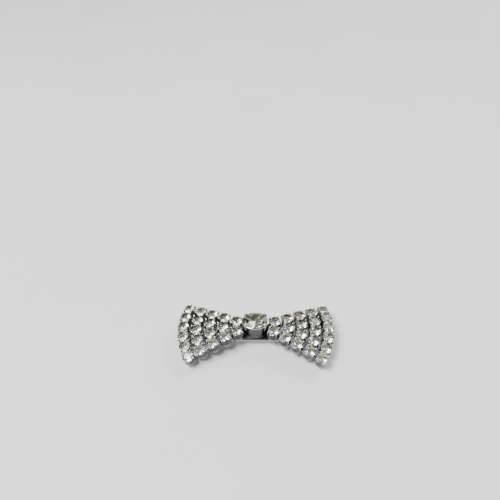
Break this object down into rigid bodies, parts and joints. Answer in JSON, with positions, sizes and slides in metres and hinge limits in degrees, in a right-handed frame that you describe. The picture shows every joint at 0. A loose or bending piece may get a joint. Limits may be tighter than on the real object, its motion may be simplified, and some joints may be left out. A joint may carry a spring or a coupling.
{
  "type": "bow brooch",
  "caption": "Bow-shaped brooch: two domed fan wings of round claw-set stones, a raised oval stone at the knot, and a hinged pin with a roll-over safety catch behind.",
  "frame": {"origin": "below the middle of the bow's outline, on the surface that the brooch lies on face up", "axes": "+X along the bow towards the catch, +Y towards the bow's upper edge, +Z out of the face"},
  "size_m": [0.0464, 0.0203, 0.0102],
  "materials": {
    "crystal": "clear faceted crystal, foil-bright, polished",
    "rhodium_setting": "rhodium-plated cast metal, polished claws with darkened recesses",
    "rhodium_back": "rhodium-plated sheet, soft polish",
    "fittings": "plated brass findings, polished",
    "pin_steel": "drawn spring steel wire, ground to a point"
  },
  "bodies": {
    "bow": {"left_stone_1_1": "crystal", "left_stone_1_2": "crystal", "left_stone_2_1": "crystal", "left_stone_2_2": "crystal", "left_stone_2_3": "crystal", "left_stone_3_1": "crystal", "left_stone_3_2": "crystal", "left_stone_3_3": "crystal", "left_stone_3_4": "crystal", "left_stone_4_1": "crystal", "left_stone_4_2": "crystal", "left_stone_4_3": "crystal", "left_stone_4_4": "crystal", "left_stone_4_5": "crystal", "left_stone_5_1": "crystal", "left_stone_5_2": "crystal", "left_stone_5_3": "crystal", "left_stone_5_4": "crystal", "left_stone_5_5": "crystal", "left_stone_5_6": "crystal", "right_stone_1_1": "crystal", "right_stone_1_2": "crystal", "right_stone_2_1": "crystal", "right_stone_2_2": "crystal", "right_stone_2_3": "crystal", "right_stone_3_1": "crystal", "right_stone_3_2": "crystal", "right_stone_3_3": "crystal", "right_stone_3_4": "crystal", "right_stone_4_1": "crystal", "right_stone_4_2": "crystal", "right_stone_4_3": "crystal", "right_stone_4_4": "crystal", "right_stone_4_5": "crystal", "right_stone_5_1": "crystal", "right_stone_5_2": "crystal", "right_stone_5_3": "crystal", "right_stone_5_4": "crystal", "right_stone_5_5": "crystal", "right_stone_5_6": "crystal", "left_cups_1": "rhodium_setting", "left_cups_2": "rhodium_setting", "left_cups_3": "rhodium_setting", "left_cups_4": "rhodium_setting", "left_cups_5": "rhodium_setting", "right_cups_1": "rhodium_setting", "right_cups_2": "rhodium_setting", "right_cups_3": "rhodium_setting", "right_cups_4": "rhodium_setting", "right_cups_5": "rhodium_setting", "left_back_plate": "rhodium_back", "right_back_plate": "rhodium_back", "knot_stone": "crystal", "knot_collet": "rhodium_setting", "knot_bridge": "rhodium_back", "hinge_bracket": "fittings", "hinge_rivet": "fittings", "catch_base": "fittings"},
    "pin": {"pin_stem": "pin_steel"},
    "catch_lever": {"catch_sleeve": "fittings"}
  },
  "joints": [
    {"name": "pin_swing", "type": "hinge", "parent": "bow", "child": "pin", "pos_m": [-0.01564, 0, 0.0013], "axis": [0, 1, 0], "range_deg": [0, 100]},
    {"name": "catch_turn", "type": "hinge", "parent": "bow", "child": "catch_lever", "pos_m": [0.01564, 0, 0.0013], "axis": [-1, 0, 0], "range_deg": [0, 100]}
  ]
}
